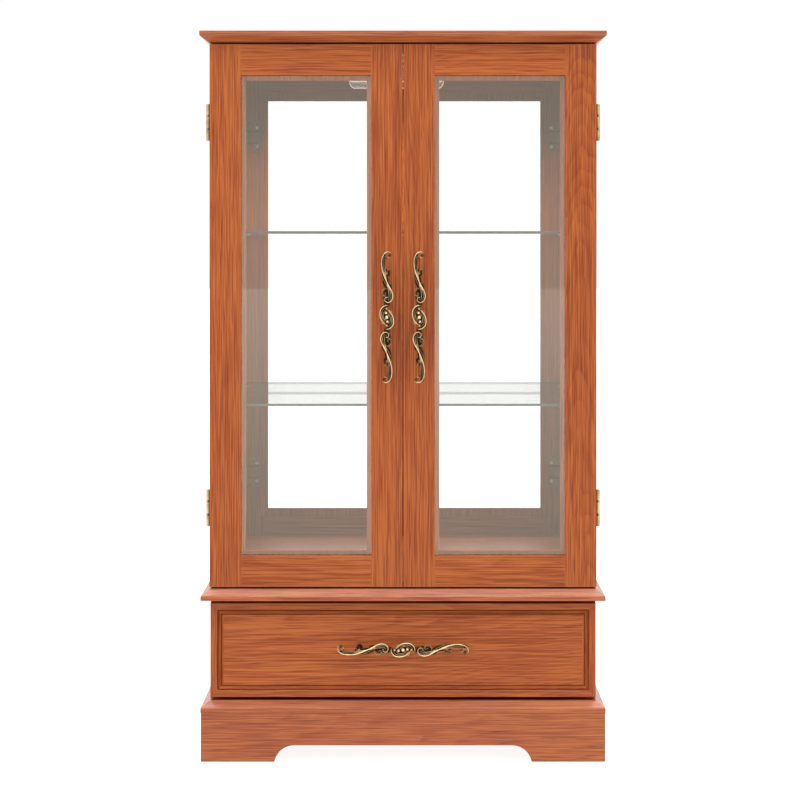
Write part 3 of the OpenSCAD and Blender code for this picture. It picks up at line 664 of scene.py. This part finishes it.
# Ridges of half the casting: (across, up, lift, radius) in mm, seen from the front.
RIDGES = [
    # the long S, from the volute at the end to the scroll beside the rosette
    [(5.2, 88.6, 0.4, 0.9), (3.0, 87.4, 0.6, 1.3), (0.6, 88.6, 0.5, 1.3), (0.4, 91.6, 0.4, 1.3),
     (3.2, 94.0, 0.4, 1.4), (6.6, 93.0, 0.4, 1.2), (7.6, 90.2, 0.3, 1.0)],
    [(6.2, 94.2, 0.6, 0.9), (2.4, 95.8, 0.8, 1.2), (-2.6, 94.2, 0.8, 1.3), (-6.0, 89.4, 0.8, 1.4),
     (-7.4, 82.6, 0.8, 1.4), (-7.3, 74.6, 0.9, 1.35), (-5.2, 65.0, 1.0, 1.35),
     (-1.0, 54.0, 1.1, 1.3), (4.0, 44.4, 1.1, 1.3), (7.6, 37.2, 1.1, 1.3), (8.8, 30.6, 1.0, 1.3),
     (6.6, 24.2, 0.9, 1.2), (1.6, 21.6, 0.8, 1.2), (-2.6, 24.2, 0.8, 1.1), (-2.2, 28.6, 0.9, 1.0),
     (1.2, 29.2, 1.0, 0.9)],
    # two lower ridges that cross the stem
    [(-6.4, 70.0, 0.3, 0.8), (-6.6, 61.0, 0.5, 0.95), (-3.4, 52.0, 0.6, 1.0),
     (1.0, 44.6, 0.6, 0.95), (4.2, 39.4, 0.4, 0.8)],
    [(-6.0, 64.0, 0.0, 0.6), (-7.2, 56.4, 0.2, 0.8), (-5.2, 48.6, 0.3, 0.85),
     (-1.8, 42.8, 0.2, 0.8)],
    # the inner edge of the stem, from the volute down to the bud
    [(0.4, 88.4, 0.2, 0.8), (-1.8, 82.0, 0.3, 0.9), (-3.0, 75.0, 0.3, 0.9), (-2.4, 68.0, 0.4, 0.9)],
    [(-2.6, 60.0, 0.4, 0.8), (-0.6, 65.4, 0.5, 0.9), (2.4, 70.2, 0.6, 1.0), (5.0, 69.0, 0.5, 1.0),
     (4.4, 66.6, 0.5, 0.9)],
    # the C beside the scroll, with its curl
    [(3.4, 40.4, 0.4, 0.8), (-1.6, 42.2, 0.6, 1.0), (-5.8, 39.6, 0.6, 1.1), (-6.6, 34.2, 0.6, 1.1),
     (-3.6, 30.6, 0.6, 1.0), (-1.0, 33.2, 0.7, 0.9), (-2.8, 36.2, 0.8, 0.9)],
    [(-6.2, 33.0, 0.3, 0.8), (-6.4, 27.0, 0.4, 0.9), (-4.6, 21.6, 0.4, 0.9), (-1.0, 18.4, 0.4, 0.9)],
    # the rosette's frame on this side
    [(2.2, 17.4, 0.7, 0.9), (-3.6, 16.6, 0.9, 1.2), (-8.6, 12.0, 1.0, 1.3), (-10.0, 5.0, 1.0, 1.3),
     (-8.4, -2.4, 1.0, 1.3), (-4.4, -8.2, 0.9, 1.2), (-0.4, -11.6, 0.7, 1.0)],
    [(3.6, 8.8, 0.6, 0.8), (6.4, 9.4, 0.8, 1.0), (8.4, 6.4, 0.8, 0.9)],
    [(-5.6, 11.2, 0.4, 0.7), (-7.0, 5.4, 0.5, 0.8), (-5.8, -0.6, 0.5, 0.7)],
]
# Rounded bodies under and between the ridges: (across, up, lift), (radii).
BODIES = [
    ((4.2, 90.8, 0.3), (2.0, 2.0, 1.7)), ((-4.4, 86.0, -0.7), (3.2, 8.5, 1.5)),
    ((-5.0, 74.0, -0.8), (2.6, 9.0, 1.5)), ((-2.6, 64.0, -0.8), (4.6, 8.0, 1.7)),
    ((-1.6, 53.6, -0.7), (4.4, 8.4, 1.8)), ((2.2, 43.2, -0.7), (5.0, 7.4, 1.8)),
    ((4.2, 68.4, 0.2), (1.3, 1.4, 1.2)), ((-4.0, 32.6, 0.5), (1.9, 1.9, 1.7)),
    ((0.0, 26.2, 0.3), (2.0, 2.0, 1.7)), ((1.4, 31.6, -0.8), (7.0, 10.5, 1.6)),
    ((0.0, 20.0, -0.7), (4.4, 5.4, 1.6)), ((-3.6, 5.4, -0.6), (7.2, 11.6, 1.9)),
    ((-0.2, 12.4, 0.9), (2.2, 2.5, 1.7)), ((-1.0, 6.4, 1.0), (2.7, 2.5, 1.8)),
    ((2.4, 3.4, 0.8), (1.5, 2.2, 1.5)), ((0.0, 0.6, 1.2), (2.9, 2.3, 1.8)),
]
# Fine veins beside a ridge: its number, how much narrower and shorter, and its points in use.
VEINS = [
    (1, 0.66, 1.0, 3, 9), (1, 0.34, 1.0, 3, 9), (1, 0.7, 1.0, 8, 12), (1, 0.38, 1.0, 8, 12),
    (3, 0.6, 0.98, 0, 4), (8, 0.78, 0.8, 0, 7), (8, 0.52, 0.6, 1, 6), (6, 0.7, 1.0, 0, 5),
]
BODY_SINK = 0.7
# The radii of a ridge and of a vein, as shares of the radii above, and how far they are lifted.
RIDGE_WIDTH, RIDGE_LIFT = 0.58, 1.2
VEIN_WIDTH, VEIN_LIFT = 0.44, 0.9
# The posts: their distance from the middle, then how far out and how wide, measured from the door
# at the foot and back from the casting at the head.
POST_UP = 64.0
POST_FOOT = [(0.4, 4.4), (1.6, 4.4), (2.6, 3.7), (4.0, 3.0), (9.0, 2.7)]
POST_HEAD = [(-4.0, 2.9), (-1.0, 3.4)]
VOXEL = 0.37


def scroll_casting():
    """One casting, upright at the origin in mm: across +X, up +Y, out of the door +Z."""
    bm = bmesh.new()
    for turn in (1, -1):
        for ridge in RIDGES:
            path = [(turn * a, turn * u, bow_height(u) + lift + RIDGE_LIFT, r * RIDGE_WIDTH)
                    for a, u, lift, r in smooth_path(ridge)]
            add_tube(bm, path)
        for index, narrow, shrink, first, last in VEINS:
            path = [(turn * a * narrow, turn * u * shrink, bow_height(u) + lift + VEIN_LIFT,
                     r * VEIN_WIDTH) for a, u, lift, r in smooth_path(RIDGES[index][first:last])]
            add_tube(bm, path, sides=10)
        for (a, u, lift), radii in BODIES:
            # bodies under the ridges sit deeper than those between them
            sink = BODY_SINK if lift < 0 else 0.0
            add_ball(bm, (turn * a, turn * u, bow_height(u) + lift - sink), radii)
        head = [(bow_height(POST_UP) + back, r) for back, r in POST_HEAD]
        add_tube(bm, [(0, turn * POST_UP, out, r) for out, r in POST_FOOT + head], 1.0, 28)
    mesh = bpy.data.meshes.new("rough_casting")
    bm.to_mesh(mesh)
    bm.free()
    rough = bpy.data.objects.new("rough_casting", mesh)
    scene.collection.objects.link(rough)
    fuse = rough.modifiers.new("fuse", "REMESH")
    fuse.mode = "VOXEL"
    fuse.voxel_size = VOXEL
    soften = rough.modifiers.new("soften", "SMOOTH")
    soften.factor = 0.4
    soften.iterations = 1
    done = bpy.data.meshes.new_from_object(
        rough.evaluated_get(bpy.context.evaluated_depsgraph_get()))
    bpy.data.objects.remove(rough)
    bpy.data.meshes.remove(mesh)
    return done


CASTING = scroll_casting()


def place_handle(name, node, body, turned):
    """Copies the casting onto a door or the drawer, filling the CAD handle's place."""
    lo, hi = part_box(node)
    middle = Vector(((lo[0] + hi[0]) / 2, DOOR_Y, (lo[2] + hi[2]) / 2))
    bm = bmesh.new()
    bm.from_mesh(CASTING)
    relief = [v.co.z - bow_height(v.co.y) for v in bm.verts]
    for v in bm.verts:
        a, u, out = v.co.x * MM, v.co.y * MM, max(v.co.z, 0.0) * MM
        if turned:
            a, u = -u, a
        v.co = middle + Vector((a, -out, u))
    for f in bm.faces:
        f.smooth = True
    o = add_piece(name, bm, ANTIQUE, body, node)
    o.data.attributes.new("relief", "FLOAT", "POINT").data.foreach_set("value", relief)


place_handle("left_scroll_handle", "left_handle", "left_door", False)
place_handle("right_scroll_handle", "right_handle", "right_door", False)
place_handle("drawer_scroll_handle", "drawer_handle", "drawer", True)


LAMP_CORNER = 11.0
LIP_RADIUS = 0.8
LIP_SIDES = 10


def glowing_rim_highlight():
    """The lamp cover's thick moulded edge, with a painted highlight: it glows faintly to stand in for
    the bright lines of light along its lower edge.
    """
    g = Graph("lamp_rim_painted_highlight")
    p = g.coords()
    streak = g.noise(g.scale(p, (60, 900, 900)), detail=2.0)
    col = g.ramp(streak, [(0.3, srgb(236, 222, 212)), (0.7, srgb(252, 244, 238))])
    # painted highlight: a faint glow along the lip
    g.principled(Base_Color=col, Roughness=g.span(streak, 0.3, 0.7, 0.15, 0.3),
                 Emission_Color=srgb(255, 232, 220), Emission_Strength=0.55)
    return g.owner


def lamp_lip():
    """The rounded lip along the lower front edge of the lamp's cover."""
    (x0, y0, z0), (x1, _, z1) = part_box("lamp_cover")
    r, lip = LAMP_CORNER * MM, LIP_RADIUS * MM
    arc = [(math.cos(a), math.sin(a)) for a in (math.radians(d) for d in range(180, 271, 10))]
    left = [(x0 + r + r * c, z0 + r + r * q) for c, q in arc]
    right = [(x1 - r - r * c, z) for (c, _), (_, z) in zip(reversed(arc), reversed(left))]
    outline = [(x0, z1 - MM)] + left + right + [(x1, z1 - MM)]
    middle = (x0 + x1) / 2
    path = [(x + math.copysign(lip, middle - x), max(z, z0 + lip)) for x, z in outline]
    bm = bmesh.new()
    rings = []
    for i, (x, z) in enumerate(path):
        (xa, za), (xb, zb) = path[max(i - 1, 0)], path[min(i + 1, len(path) - 1)]
        way = Vector((xb - xa, 0, zb - za)).normalized()
        side = Vector((way.z, 0, -way.x))
        rings.append([bm.verts.new(Vector((x, y0 + lip, z)) + side * (lip * math.cos(t))
                                   + Vector((0, 1, 0)) * (lip * math.sin(t)))
                      for t in (2 * math.pi * k / LIP_SIDES for k in range(LIP_SIDES))])
    skin(bm, rings)
    for f in bm.faces:
        f.smooth = True
    add_piece("lamp_cover_lips", bm, glowing_rim_highlight(), "root")


lamp_lip()


# ---------- studio ----------

# How bright the world is behind the cabinet and behind the camera, where the mirror looks, and
# how many times brighter it is overhead.
BACKDROP, BEHIND, OVERHEAD = 1.02, 1.2, 2.8
# How much the floor glows near the cabinet, and further forward, where the mirror looks.
FLOOR_GLOW, FLOOR_BEHIND = 0.9, 0.8


def backdrop():
    """A white world, brighter behind the camera and overhead."""
    g = Graph("studio", world=True)
    way = g.split(g.node("TexCoord").outputs["Generated"])
    level = g.span(way[1], -0.3, -0.8, BACKDROP, BEHIND)
    rise = g.span(way[2], 0.35, 0.8, 1.0, OVERHEAD)
    white = g.node("Background", {"Color": (1.0, 1.0, 1.0, 1.0),
                                  "Strength": g.math("MULTIPLY", level, rise)})
    g.surface(white.outputs[0])
    scene.world = g.owner


def pale_floor():
    """A plain pale floor that glows, so that it joins the white behind it."""
    bpy.ops.mesh.primitive_plane_add(size=60, location=(0, 0, 0))
    floor = bpy.context.object
    floor.name = "floor"
    g = Graph("pale_floor")
    p = g.coords()
    tone = g.ramp(g.noise(p, 3.0, 3.0), [(0.3, (0.30, 0.30, 0.30)), (0.7, (0.33, 0.33, 0.33))])
    g.principled(Base_Color=tone, Roughness=0.7, Specular_IOR_Level=0.1,
                 Emission_Color=(1, 1, 1, 1),
                 Emission_Strength=g.span(g.split(p)[1], -1.6, -0.8, FLOOR_BEHIND, FLOOR_GLOW))
    floor.data.materials.append(g.owner)


def area_light(name, place, target, size, power, colour=(1, 1, 1), glossy=False, spread=180):
    """A soft light. Unless it is glossy, the mirror doesn't show it as a shape."""
    data = bpy.data.lights.new(name, "AREA")
    data.shape = "RECTANGLE"
    data.size, data.size_y = size
    data.energy = power
    data.color = colour
    data.spread = math.radians(spread)
    o = bpy.data.objects.new(name, data)
    scene.collection.objects.link(o)
    o.location = place
    way = Vector(target) - Vector(place)
    o.rotation_euler = way.to_track_quat("-Z", "Y").to_euler()
    o.visible_camera = False
    o.visible_glossy = glossy


def photo_camera():
    """The photograph's own camera: level, a little right of the middle, with its view shifted."""
    lens = bpy.data.cameras.new("camera")
    lens.sensor_width = 36.0
    lens.lens = 103.9
    lens.shift_x = -0.0144
    lens.shift_y = -0.206
    lens.clip_end = 60
    o = bpy.data.objects.new("camera", lens)
    scene.collection.objects.link(o)
    o.location = (0.0125, -3.53, 0.7728)
    o.rotation_euler = (math.radians(90), 0, 0)
    scene.camera = o


backdrop()
pale_floor()
area_light("key", place=(-2.2, -3.4, 2.7), target=(0, 0, 0.6), size=(2.4, 2.0), power=7)
area_light("fill", place=(2.6, -3.0, 1.9), target=(0, 0, 0.5), size=(2.2, 2.2), power=4)
area_light("lamp_light", place=(-0.012, 0.085, 1.004), target=(-0.012, 0.0, 0.26),
           size=(0.13, 0.05), power=3.0, colour=(1, 0.93, 0.84), spread=150)
area_light("above", place=(0.0, -0.6, 3.2), target=(0, -0.1, 0.6), size=(2.6, 1.8), power=60,
           glossy=True)
photo_camera()
scene.view_settings.view_transform = "Standard"
scene.view_settings.look = "None"
